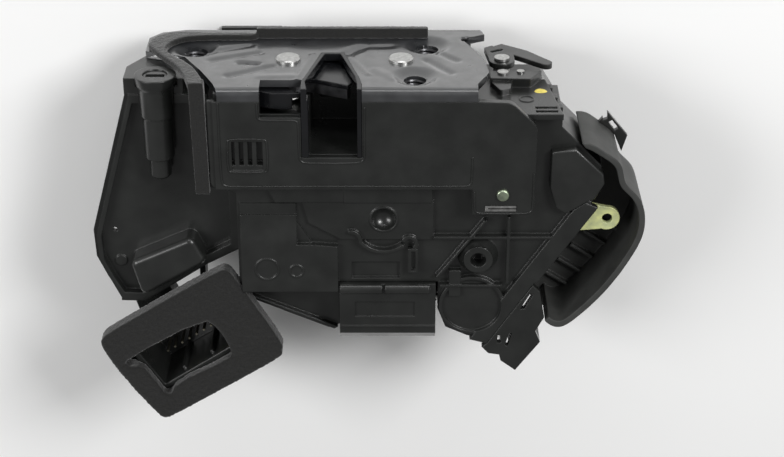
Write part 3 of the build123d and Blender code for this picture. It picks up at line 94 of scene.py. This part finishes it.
class Surface:
    """A shader whose colour, roughness and fine grain vary over the surface."""

    def __init__(self, name, colour, roughness, metallic=0.0, **more):
        self.name = name
        self.material = bpy.data.materials.new(name)
        self.material.use_nodes = True
        self.nodes = self.material.node_tree.nodes
        self.links = self.material.node_tree.links
        self.shader = self.nodes["Principled BSDF"]
        self.colour = colour
        self.roughness = roughness
        values = {"Base Color": (*colour, 1.0), "Roughness": roughness, "Metallic": metallic}
        values.update({key.replace("_", " "): value for key, value in more.items()})
        for key, value in values.items():
            self.shader.inputs[key].default_value = value
        self.height = None

    def round_edges(self, radius):
        """Edges catch the light as if rounded by this radius, in millimetres."""
        bevel = self.nodes.new("ShaderNodeBevel")
        bevel.samples = EDGE_SAMPLES
        bevel.inputs["Radius"].default_value = radius * MM
        self.height = bevel.outputs["Normal"]
        self.links.new(self.height, self.shader.inputs["Normal"])
        return self

    def noise(self, scale, detail, stretch=EVEN):
        place = self.nodes.new("ShaderNodeTexCoord")
        turn = self.nodes.new("ShaderNodeMapping")
        turn.inputs["Scale"].default_value = stretch
        noise = self.nodes.new("ShaderNodeTexNoise")
        noise.inputs["Scale"].default_value = scale
        noise.inputs["Detail"].default_value = detail
        self.links.new(place.outputs["Object"], turn.inputs["Vector"])
        self.links.new(turn.outputs["Vector"], noise.inputs["Vector"])
        return noise.outputs["Fac"]

    def mottle(self, scale, amount, detail=4.0, tint=EVEN):
        """The colour wanders by the given fraction on both sides, tinted where it is light."""
        ramp = self.nodes.new("ShaderNodeValToRGB")
        low = [c * (1.0 - amount) for c in self.colour]
        high = [min(c * (1.0 + amount) * t, 1.0) for c, t in zip(self.colour, tint)]
        for stop, place, colour in zip(ramp.color_ramp.elements, COLOUR_BAND, (low, high)):
            stop.position = place
            stop.color = (*colour, 1.0)
        self.links.new(self.noise(scale, detail), ramp.inputs["Fac"])
        self.links.new(ramp.outputs["Color"], self.shader.inputs["Base Color"])
        return self

    def uneven(self, scale, spread, stretch=EVEN):
        """The roughness wanders, as on a handled or rolled surface."""
        span = self.nodes.new("ShaderNodeMapRange")
        span.inputs["From Min"].default_value = ROUGHNESS_BAND[0]
        span.inputs["From Max"].default_value = ROUGHNESS_BAND[1]
        span.inputs["To Min"].default_value = max(self.roughness - spread, LEAST_ROUGHNESS)
        span.inputs["To Max"].default_value = min(self.roughness + spread, 1.0)
        self.links.new(self.noise(scale, ROUGHNESS_DETAIL, stretch), span.inputs["Value"])
        self.links.new(span.outputs["Result"], self.shader.inputs["Roughness"])
        return self

    def grain(self, scale, strength, depth=0.05, detail=3.0, stretch=EVEN):
        """A fine relief, its depth in millimetres, over any that is there already."""
        bump = self.nodes.new("ShaderNodeBump")
        bump.inputs["Strength"].default_value = strength
        bump.inputs["Distance"].default_value = depth * MM
        self.links.new(self.noise(scale, detail, stretch), bump.inputs["Height"])
        if self.height is not None:
            self.links.new(self.height, bump.inputs["Normal"])
        self.height = bump.outputs["Normal"]
        self.links.new(self.height, self.shader.inputs["Normal"])
        return self


def make_materials():
    plate = Surface(
        "plate_steel", (0.024, 0.025, 0.027), 0.36, IOR=1.6,
        Coat_Weight=1.0, Coat_Roughness=0.16, Coat_IOR=1.6,
    )
    plate.mottle(220.0, 0.25).uneven(160.0, 0.10).grain(700.0, 0.10)
    dark = Surface("dark_steel", (0.10, 0.10, 0.105), 0.40, 1.0)
    dark.round_edges(0.40).mottle(350.0, 0.20).uneven(300.0, 0.08).grain(1500.0, 0.10)
    bright = Surface("bright_steel", (0.50, 0.50, 0.49), 0.38, 1.0)
    bright.mottle(900.0, 0.16).uneven(700.0, 0.10).grain(1300.0, 0.14)
    bare = Surface("bare_steel", (0.42, 0.42, 0.41), 0.40, 1.0)
    drawn = (1.0, 6.0, 1.0)
    bare.mottle(300.0, 0.15).uneven(250.0, 0.10, drawn).grain(1200.0, 0.12, stretch=drawn)
    plastic = Surface(
        "black_plastic", (0.0130, 0.0138, 0.0130), 0.34, Coat_Weight=0.35, Coat_Roughness=0.14,
    )
    plastic.round_edges(0.75).mottle(120.0, 0.22).uneven(80.0, 0.09)
    plastic.grain(1100.0, 0.16).grain(3000.0, 0.10, 0.02)
    # The cable guard's plastic: rougher, and about three times lighter than the black plastic, as
    # painted light on the guard's shaded inner walls
    guard = Surface("guard_plastic_painted_light", (0.038, 0.039, 0.037), 0.58)
    guard.round_edges(0.75).mottle(140.0, 0.20).uneven(110.0, 0.06).grain(900.0, 0.18)
    liner = Surface("liner_plastic", (0.0065, 0.0068, 0.0078), 0.22)
    liner.round_edges(0.60).mottle(160.0, 0.15).uneven(140.0, 0.05).grain(300.0, 0.06)
    rubber = Surface("soft_rubber", (0.02, 0.02, 0.02), 0.70)
    rubber.mottle(260.0, 0.2).uneven(260.0, 0.08).grain(1500.0, 0.3)
    foam = Surface(
        "foam", (0.016, 0.016, 0.0155), 0.96, Specular_IOR_Level=0.12,
        Sheen_Weight=0.45, Sheen_Roughness=0.45,
    )
    foam.mottle(2600.0, 0.30, 2.0).grain(2200.0, 0.7, 0.14, 5.0).grain(4600.0, 0.5, 0.08)
    stud = Surface("stud_zinc", (0.46, 0.52, 0.42), 0.38, 1.0)
    stud.mottle(400.0, 0.18, tint=(1.0, 1.03, 0.9)).uneven(500.0, 0.10).grain(1200.0, 0.10)
    can = Surface("motor_can", (0.62, 0.62, 0.60), 0.34, 1.0)
    can.mottle(150.0, 0.08).uneven(200.0, 0.08, (6.0, 1.0, 1.0))
    can.grain(900.0, 0.08, stretch=(8.0, 1.0, 1.0))
    white = Surface("white_plastic", (0.62, 0.61, 0.56), 0.45)
    white.mottle(300.0, 0.08).uneven(200.0, 0.06).grain(1200.0, 0.12)
    # The connector pins' metal is darkened as painted shade, for pins that sit deep in the socket's
    # shadow
    pins_painted_shade = Surface("pin_metal", (0.30, 0.28, 0.22), 0.38, 1.0)
    pins_painted_shade.mottle(600.0, 0.08).uneven(500.0, 0.06).grain(1500.0, 0.05)
    zinc = Surface("lever_zinc", (0.72, 0.78, 0.44), 0.38, 0.25)
    zinc.round_edges(0.35).mottle(260.0, 0.22, tint=(1.05, 1.0, 0.8))
    zinc.uneven(300.0, 0.10).grain(900.0, 0.12)
    paint_dot = Surface("yellow_paint", (0.75, 0.62, 0.12), 0.5)
    paint_dot.mottle(900.0, 0.15).uneven(700.0, 0.08).grain(900.0, 0.3)
    made = (
        plate, dark, bright, bare, plastic, guard, liner, rubber, foam, stud, can, white, pins_painted_shade,
        zinc, paint_dot,
    )
    return {surface.name: surface.material for surface in made}


materials = make_materials()


def paint(piece, slot):
    piece.data.materials.clear()
    piece.data.materials.append(materials[slot])


# Edge rounds in millimetres by material slot, and the nodes of those slots that are round wire
EDGE_ROUNDS = {
    "dark_steel": 0.20, "black_plastic": 0.42, "liner_plastic": 0.30, "bare_steel": 0.15,
    "lever_zinc": 0.20, "white_plastic": 0.10,
}
CURVED_NODES = ("catch_spring", "pawl_spring")
WELD_GAP = 0.002
# Angles in degrees: faces that count as one flat, edges that are rounded, edges that stay sharp
FLAT_ANGLE = 0.5
ROUNDED_ANGLE = 35
SPLIT_ANGLE = 32


def add_bevel(piece, width, degrees):
    """Rounds the edges sharper than an angle, by a width in millimetres."""
    bevel = piece.modifiers.new("bevel", "BEVEL")
    bevel.width = width * MM
    bevel.segments = 2
    bevel.limit_method = "ANGLE"
    bevel.angle_limit = math.radians(degrees)
    return bevel


def soften_edges(piece, width):
    """Small rounds on the moulded and stamped edges, so that they catch the light."""
    weld = piece.modifiers.new("weld", "WELD")
    weld.merge_threshold = WELD_GAP * MM
    flat = piece.modifiers.new("flat", "DECIMATE")
    flat.decimate_type = "DISSOLVE"
    flat.angle_limit = math.radians(FLAT_ANGLE)
    add_bevel(piece, width, ROUNDED_ANGLE).miter_outer = "MITER_ARC"


def shade_smooth(piece, degrees=SPLIT_ANGLE):
    for polygon in piece.data.polygons:
        polygon.use_smooth = True
    smooth = piece.modifiers.new("smooth", "EDGE_SPLIT")
    smooth.split_angle = math.radians(degrees)


def dress_frame():
    """Finishes on the CAD nodes; the cable guard is a duller plastic than the rest, and lighter, as
    painted light on its shaded inner walls.
    """
    for entry in frame["record"]["subparts"]:
        piece = frame["nodes"][entry["node"]]
        slot = entry["material_slot"]
        paint(piece, slot)
        if slot in EDGE_ROUNDS and entry["node"] not in CURVED_NODES:
            soften_edges(piece, EDGE_ROUNDS[slot])
        shade_smooth(piece)
        even = piece.modifiers.new("even", "WEIGHTED_NORMAL")
        even.mode = "FACE_AREA"
        even.keep_sharp = True
    # The cable guard gets the lightened plastic, painted light on its inner walls
    paint(frame["nodes"]["cable_guard"], "guard_plastic_painted_light")


# Pieces of their own, all on the latch body
def add_piece(name, mesh, slot):
    """A piece with a finish, on the latch body."""
    piece = bpy.data.objects.new(name, mesh)
    scene.collection.objects.link(piece)
    paint(piece, slot)
    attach(piece, "latch_body")
    return piece


def ease(value):
    """Zero to one with a flat start and end."""
    value = min(max(value, 0.0), 1.0)
    return value * value * (3.0 - 2.0 * value)


def to_segment(point, start, end):
    """Distance from a point to a straight run."""
    run = (end[0] - start[0], end[1] - start[1])
    along = (point[0] - start[0]) * run[0] + (point[1] - start[1]) * run[1]
    along = min(max(along / (run[0] ** 2 + run[1] ** 2), 0.0), 1.0)
    return math.hypot(point[0] - start[0] - along * run[0], point[1] - start[1] - along * run[1])


# The lock plate's pressings, in millimetres over the plate's outer face: x and z
PLATE_HOLES = ((-47.0, -11.8), (27.0, 12.1), (31.5, -14.4))
BORE_RADIUS = 3.4
BORE_SLACK = 0.15
THREAD_ROOT = 3.75
DISH_RADIUS = 8.2
DISH_DEPTH = 1.7
# Each groove: its ends, its half width and its depth
GROOVES = (
    ((-42.5, -8.5), (-29.5, -14.2), 1.5, 0.65),
    ((-41.0, -1.2), (-25.6, -7.9), 1.4, 0.65),
    ((-34.5, 11.9), (-20.4, 4.0), 1.4, 0.65),
    ((31.0, -1.2), (38.6, 9.6), 1.3, 0.60),
    ((33.6, -9.0), (41.0, -0.8), 1.3, 0.60),
    ((3.4, -6.2), (8.6, -12.4), 2.2, 0.90),
    ((13.0, -13.2), (19.0, -13.6), 1.8, 0.45),
    ((-31.5, 0.8), (-25.5, 1.6), 1.0, 1.00),
)
# Each raised fold beside the striker slot and the rivets: its ends, half width and rise
RIDGES = (
    ((-7.4, -5.5), (-12.4, 18.0), 0.8, 0.40),
    ((4.2, -6.8), (11.6, 11.0), 0.8, 0.40),
    ((-24.0, 12.5), (-13.0, 12.0), 1.6, 0.25),
    ((14.0, 7.0), (20.0, 14.0), 1.8, 0.25),
)
# A groove or fold fades out at this many times its half width
FADE = 1.7
# The small hole's place, the radius and width of its dish, and the dish's depth
SMALL_HOLE = (45.0, -19.7)
SMALL_DISH = (1.0, 1.2, 1.6)
WAVE_HEIGHT = 0.045
# The plate's outer face lies above this level, and is cut into a grid along x and z
OUTER_LEVEL = -0.05
FACES_OUT = 0.95
PLATE_GRID = 0.8
PLATE_SPANS = (((1, 0, 0), -64.0, 52.0), ((0, 0, 1), -28.0, 24.0))
CUT_GAP = 0.001
# The round on its edges: a width, and the angle in degrees beyond which an edge has one
PLATE_EDGE = (0.18, 50)


def plate_height(x, z):
    """How far the plate's outer face stands above or below flat, in millimetres."""
    height = 0.0
    for start, end, half, depth in GROOVES:
        height -= depth * (1.0 - ease(to_segment((x, z), start, end) / (FADE * half)))
    for start, end, half, rise in RIDGES:
        height += rise * (1.0 - ease(to_segment((x, z), start, end) / (FADE * half)))
    for hole in PLATE_HOLES:
        away = math.hypot(x - hole[0], z - hole[1])
        height -= DISH_DEPTH * (1.0 - ease((away - THREAD_ROOT) / (DISH_RADIUS - THREAD_ROOT)))
    away = math.hypot(x - SMALL_HOLE[0], z - SMALL_HOLE[1])
    radius, width, depth = SMALL_DISH
    height -= depth * (1.0 - ease((away - radius) / width))
    wave = math.sin(0.31 * x + 0.9) * math.sin(0.27 * z - 0.4)
    wave += 0.6 * math.sin(0.17 * x - 0.35 * z)
    return height + WAVE_HEIGHT * wave


def press_lock_plate():
    """The plate with its pressings, from a copy of the CAD node's own mesh."""
    mesh = frame["nodes"]["lock_plate"].data.copy()
    work = bmesh.new()
    work.from_mesh(mesh)
    bmesh.ops.remove_doubles(work, verts=work.verts, dist=WELD_GAP * MM)
    for axis, low, high in PLATE_SPANS:
        steps = int((high - low) / PLATE_GRID)
        for n in range(1, steps + 1):
            outer = [
                f for f in work.faces
                if f.normal.y > FACES_OUT and f.calc_center_median().y > OUTER_LEVEL * MM
            ]
            edges = {e for f in outer for e in f.edges}
            corners = {v for f in outer for v in f.verts}
            geometry = outer + list(edges) + list(corners)
            at = Vector(axis) * (low + n * PLATE_GRID) * MM
            bmesh.ops.bisect_plane(
                work, geom=geometry, dist=CUT_GAP * MM, plane_co=at, plane_no=axis,
            )
    for vertex in work.verts:
        x, y, z = (c / MM for c in vertex.co)
        for hole in PLATE_HOLES:
            away = math.hypot(x - hole[0], z - hole[1])
            if away < BORE_RADIUS + BORE_SLACK:
                x = hole[0] + (x - hole[0]) * THREAD_ROOT / away
                z = hole[1] + (z - hole[1]) * THREAD_ROOT / away
        if y > OUTER_LEVEL:
            y += plate_height(x, z)
        vertex.co = Vector((x, y, z)) * MM
    work.normal_update()
    work.to_mesh(mesh)
    work.free()
    piece = add_piece("pressed_lock_plate", mesh, "plate_steel")
    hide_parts("lock_plate")
    add_bevel(piece, *PLATE_EDGE)
    shade_smooth(piece, 35)


# The thread in each fixing hole, in millimetres below the plate's outer face
THREAD_PITCH = 1.25
THREAD_CREST = 3.40
THREAD_TOP = -1.9
THREAD_TURNS = 5
THREAD_SIDES = 32
THREAD_WALL = 0.12


def cut_threads():
    """Thread flanks inside the three fixing holes."""
    work = bmesh.new()
    for hole in PLATE_HOLES:
        rows = []
        for k in range(2 * THREAD_TURNS + 1):
            radius = THREAD_CREST if k % 2 else THREAD_ROOT
            row = []
            for n in range(THREAD_SIDES + 1):
                angle = 2 * math.pi * n / THREAD_SIDES
                drop = THREAD_TOP - THREAD_PITCH * (k / 2 + n / THREAD_SIDES)
                row.append(work.verts.new(Vector((
                    hole[0] + radius * math.cos(angle), drop, hole[1] + radius * math.sin(angle),
                )) * MM))
            rows.append(row)
        for upper, lower in zip(rows, rows[1:]):
            for n in range(THREAD_SIDES):
                work.faces.new((upper[n], upper[n + 1], lower[n + 1], lower[n]))
    mesh = bpy.data.meshes.new("hole_threads")
    work.to_mesh(mesh)
    work.free()
    piece = add_piece("hole_threads", mesh, "dark_steel")
    thick = piece.modifiers.new("thick", "SOLIDIFY")
    thick.thickness = THREAD_WALL * MM
    thick.offset = 0.0
    shade_smooth(piece)


def final_mesh(piece):
    """What a piece looks like with its modifiers, as a mesh of its own."""
    view = bpy.context.evaluated_depsgraph_get()
    return bpy.data.meshes.new_from_object(piece.evaluated_get(view))


def apply_modifiers(piece):
    mesh = final_mesh(piece)
    piece.modifiers.clear()
    piece.data = mesh


# Coarse and fine pores: their size in millimetres and their share of the raggedness
PORES = ((3.0, 0.4), (0.7, 1.0))
PORE_LEVEL = 0.62


def finish_foam(piece, node, voxel, ragged):
    """Porous cut foam in a node's place, its voxels and raggedness in millimetres."""
    rough = piece.modifiers.new("voxels", "REMESH")
    rough.mode = "VOXEL"
    rough.voxel_size = voxel * MM
    soft = piece.modifiers.new("soft", "SMOOTH")
    soft.factor = 0.5
    soft.iterations = 3
    for size, share in PORES:
        cells = bpy.data.textures.new("pores", "CLOUDS")
        cells.noise_scale = size * MM
        cells.noise_depth = 2
        shift = piece.modifiers.new("pores", "DISPLACE")
        shift.texture = cells
        shift.texture_coords = "LOCAL"
        shift.strength = share * ragged * MM
        shift.mid_level = PORE_LEVEL
    apply_modifiers(piece)
    paint(piece, "foam")
    for polygon in piece.data.polygons:
        polygon.use_smooth = True
    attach(piece, "latch_body")
    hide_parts(node)


# The connector seal, about the plug's centre, along and across its row, in millimetres
PLUG_CENTRE = (-53.5, -104.0)
PLUG_TURN = math.radians(33.5)
SEAL_OUTER = [
    (-22.6, 19.6), (-20.0, 21.6), (-15.4, 22.0), (30.0, 21.0), (32.2, 19.6), (32.8, 16.8),
    (31.4, -16.4), (29.2, -17.2), (29.4, -18.8), (25.0, -19.6), (-18.6, -18.4), (-21.6, -17.8),
    (-23.0, -14.6), (-23.8, 6.0),
]
SEAL_MOUTH = [
    (-18.8, 9.7), (-20.5, 7.3), (-15.3, 4.6), (-15.2, -1.7), (-15.5, -11.6), (-9.7, -7.9),
    (11.9, -10.1), (14.7, -8.0), (16.1, 1.8), (14.3, 8.2),
]
SEAL_SOCKET = ((-17.2, -10.2), (17.2, -10.2), (17.2, 10.2), (-17.2, 10.2))
# Its underside, the top of the socket's room in it, and its face
SEAL_LEVELS = (12.05, 14.1, 18.4)


def about_plug(u, v, level):
    """A place from its distances along and across the plug's row, and its height."""
    cos, sin = math.cos(PLUG_TURN), math.sin(PLUG_TURN)
    x = PLUG_CENTRE[0] + u * cos - v * sin
    y = PLUG_CENTRE[1] + u * sin + v * cos
    return Vector((x, y, level)) * MM


def over_plate(x, z, level):
    return Vector((x, level, z)) * MM


def over_front(x, y, level):
    return Vector((x, y, level)) * MM


def prism(work, outline, low, high, place):
    """A plain block over an outline, between two levels."""
    rings = [[work.verts.new(place(a, b, level)) for a, b in outline] for level in (low, high)]
    count = len(outline)
    for n in range(count):
        m = (n + 1) % count
        work.faces.new((rings[0][n], rings[0][m], rings[1][m], rings[1][n]))
    work.faces.new(list(reversed(rings[0])))
    work.faces.new(rings[1])


def blocks(name, shapes):
    """One loose object of several plain blocks."""
    work = bmesh.new()
    for shape in shapes:
        prism(work, *shape)
    bmesh.ops.recalc_face_normals(work, faces=work.faces)
    mesh = bpy.data.meshes.new(name)
    work.to_mesh(mesh)
    work.free()
    piece = bpy.data.objects.new(name, mesh)
    scene.collection.objects.link(piece)
    return piece


def round_corners(outline, times=3):
    """Cuts the corners of a closed outline, a few times over, into a smooth one."""
    for _ in range(times):
        cut = []
        for (ax, ay), (bx, by) in zip(outline, outline[1:] + outline[:1]):
            cut.append((0.75 * ax + 0.25 * bx, 0.75 * ay + 0.25 * by))
            cut.append((0.25 * ax + 0.75 * bx, 0.25 * ay + 0.75 * by))
        outline = cut
    return outline


# The plate's seal: a curved run round the corner, a strip along the back and one down the
# front, each between two levels
SEAL_RUN = [
    (-26.6, -21.2), (-38.0, -21.4), (-46.0, -21.6), (-52.0, -22.0), (-57.0, -21.6),
    (-61.5, -18.4), (-63.6, -13.0), (-62.6, -8.2), (-57.6, -0.2), (-52.6, 7.0), (-49.0, 14.6),
    (-47.2, 22.0), (-46.6, 23.4), (-41.7, 23.4), (-42.2, 20.0), (-44.4, 12.6), (-48.6, 4.6),
    (-54.2, -1.2), (-57.0, -6.0), (-55.6, -12.2), (-51.6, -16.2), (-45.6, -17.6),
    (-36.0, -17.6), (-26.6, -17.6),
]
SEAL_STRIP = [(-27.0, -22.6), (31.8, -22.6), (31.8, -19.6), (-27.0, -19.6)]
SEAL_FRONT = [(-46.8, 2.2), (-46.0, -38.0), (-41.15, -38.0), (-41.7, 2.2)]
RUN_LEVELS = (0.02, 2.2)
STRIP_LEVELS = (0.02, 3.8)
FRONT_LEVELS = (19.25, 23.5)


def make_plate_foam():
    piece = blocks("plate_foam", (
        (round_corners(SEAL_RUN), *RUN_LEVELS, over_plate),
        (SEAL_STRIP, *STRIP_LEVELS, over_plate),
        (SEAL_FRONT, *FRONT_LEVELS, over_front),
    ))
    finish_foam(piece, "plate_seal", voxel=0.45, ragged=0.30)


def make_connector_foam():
    low, shelf, high = SEAL_LEVELS
    piece = blocks("connector_foam", ((round_corners(SEAL_OUTER, times=2), low, high, about_plug),))
    socket = blocks("socket_room", ((SEAL_SOCKET, low - 1, shelf, about_plug),))
    opening = round_corners(SEAL_MOUTH, times=1)
    mouth = blocks("mouth_room", ((opening, low - 1, high + 1, about_plug),))
    for tool in (socket, mouth):
        cut = piece.modifiers.new("cut", "BOOLEAN")
        cut.operation = "DIFFERENCE"
        cut.solver = "EXACT"
        cut.object = tool
    apply_modifiers(piece)
    for tool in (socket, mouth):
        bpy.data.objects.remove(tool)
    finish_foam(piece, "connector_seal", voxel=0.5, ragged=0.45)


# A level above the whole object, in millimetres
ABOVE_ALL = 60.0


def surface_level(node, x, z):
    """The height of a node's topmost face over a place, in millimetres."""
    view = bpy.context.evaluated_depsgraph_get()
    tree = BVHTree.FromObject(frame["nodes"][node], view)
    hit = tree.ray_cast(Vector((x, ABOVE_ALL, z)) * MM, Vector((0.0, -1.0, 0.0)))
    return hit[0].y / MM


# Moulded beads on the front cover, each by its points x and y: along the left and lower
# edges, round the tab, round the window and striker slot, and round the small slots
COVER_BEADS = (
    ((-37.3, -4.7), (-37.3, -18.0), (-37.2, -31.0), (-36.8, -34.6), (-33.5, -35.0), (-10.0, -34.9),
     (20.0, -34.9), (43.0, -34.9), (45.6, -34.6), (45.9, -31.5), (45.9, -24.1)),
    ((46.9, -36.8), (46.9, -42.0), (47.2, -44.6), (49.6, -45.1), (63.2, -45.1), (66.0, -44.6),
     (66.4, -42.0), (66.4, -30.0)),
    ((-24.6, -4.6), (-24.6, -8.8), (-24.3, -10.6), (-22.0, -10.8), (-13.6, -10.8), (-11.4, -11.0),
     (-11.2, -13.6), (-11.2, -22.6), (-10.9, -25.8), (-8.0, -26.4), (6.0, -26.4), (10.1, -25.8),
     (10.4, -22.6), (10.4, -6.0)),
    ((-28.2, -17.6), (-33.8, -17.6), (-34.8, -18.4), (-34.8, -28.8), (-33.8, -29.8), (-22.6, -29.8),
     (-21.6, -28.8), (-21.6, -18.4), (-22.6, -17.6), (-28.2, -17.6)),
)
COVER_FACE = 23.5
BEAD_RADIUS = 0.34
BEAD_RISE = 0.05


def make_cover_beads():
    data = bpy.data.curves.new("cover_beads", "CURVE")
    data.dimensions = "3D"
    data.bevel_depth = BEAD_RADIUS * MM
    data.bevel_resolution = 3
    data.use_fill_caps = True
    for places in COVER_BEADS:
        line = data.splines.new("NURBS")
        line.points.add(len(places) - 1)
        for point, (x, y) in zip(line.points, places):
            point.co = (x * MM, y * MM, (COVER_FACE + BEAD_RISE) * MM, 1.0)
        line.order_u = 3
        line.use_endpoint_u = True
    loose = bpy.data.objects.new("bead_lines", data)
    scene.collection.objects.link(loose)
    mesh = final_mesh(loose)
    bpy.data.objects.remove(loose)
    piece = add_piece("cover_beads", mesh, "black_plastic")
    shade_smooth(piece, 60)


# The paint dot's place x and z, and its rings: share of the radius and height
PAINT_DOT = (69.3, 1.9)
PAINT_DOT_RADIUS = 2.1
PAINT_DOT_RINGS = ((1.0, 0.0), (0.93, 0.10), (0.70, 0.16), (0.35, 0.13))
PAINT_DOT_SIDES = 40


def make_paint_dot():
    """A dab of yellow paint on the upper cover, its edge uneven."""
    top = surface_level("upper_cover", *PAINT_DOT)
    work = bmesh.new()
    rings = []
    for share, rise in PAINT_DOT_RINGS:
        ring = []
        for n in range(PAINT_DOT_SIDES):
            angle = 2 * math.pi * n / PAINT_DOT_SIDES
            lobes = 1.0 + 0.06 * math.sin(3 * angle + 0.5) + 0.03 * math.sin(7 * angle)
            radius = PAINT_DOT_RADIUS * share * lobes
            x = PAINT_DOT[0] + radius * math.cos(angle)
            z = PAINT_DOT[1] + 0.85 * radius * math.sin(angle)
            ring.append(work.verts.new(Vector((x, top + rise, z)) * MM))
        rings.append(ring)
    for outer, inner in zip(rings, rings[1:]):
        for n in range(PAINT_DOT_SIDES):
            m = (n + 1) % PAINT_DOT_SIDES
            work.faces.new((outer[n], inner[n], inner[m], outer[m]))
    work.faces.new(list(reversed(rings[-1])))
    work.faces.new(rings[0])
    bmesh.ops.recalc_face_normals(work, faces=work.faces)
    mesh = bpy.data.meshes.new("paint_dot")
    work.to_mesh(mesh)
    work.free()
    piece = add_piece("paint_dot", mesh, "yellow_paint")
    shade_smooth(piece, 60)


# Floor, lamps and world, in metres and watts; each lamp by its place, aim, size and power
FLOOR_SIZE = 6.0
FLOOR_GAP = 0.0002
WORLD_STRENGTH = 0.20
MIDDLE = (0.01, -0.05, 0.0)
LAMPS = (
    ("key", (0.78, 0.60, 0.90), MIDDLE, (0.45, 0.45), 12.3),
    ("left", (-0.80, 0.20, 0.80), MIDDLE, (0.4, 0.6), 6.4),
    ("rear", (0.10, 1.15, 0.52), (0.0, 0.0, 0.0), (1.2, 0.30), 4.5),
)


def make_floor():
    level = cad_box[0][2] - FLOOR_GAP
    bpy.ops.mesh.primitive_plane_add(size=FLOOR_SIZE, location=(0, 0, level))
    floor = bpy.context.object
    floor.name = "floor"
    paper = Surface("floor", (0.90, 0.90, 0.895), 0.9, Specular_IOR_Level=0.1)
    floor.data.materials.append(paper.material)


def make_lamp(name, place, target, size, power):
    data = bpy.data.lights.new(name, "AREA")
    data.shape = "RECTANGLE"
    data.size, data.size_y = size
    data.energy = power
    lamp = bpy.data.objects.new(name, data)
    lamp.location = place
    lamp.rotation_euler = (Vector(target) - Vector(place)).to_track_quat("-Z", "Y").to_euler()
    scene.collection.objects.link(lamp)


def make_world(strength):
    world = bpy.data.worlds.new("world")
    world.use_nodes = True
    background = world.node_tree.nodes["Background"]
    background.inputs["Color"].default_value = (1.0, 1.0, 1.0, 1.0)
    background.inputs["Strength"].default_value = strength
    scene.world = world


def light_scene():
    make_world(WORLD_STRENGTH)
    for lamp in LAMPS:
        make_lamp(*lamp)
    make_floor()
    scene.view_settings.view_transform = "Standard"


make_camera()
dress_frame()
press_lock_plate()
cut_threads()
make_plate_foam()
make_connector_foam()
make_cover_beads()
make_paint_dot()
light_scene()
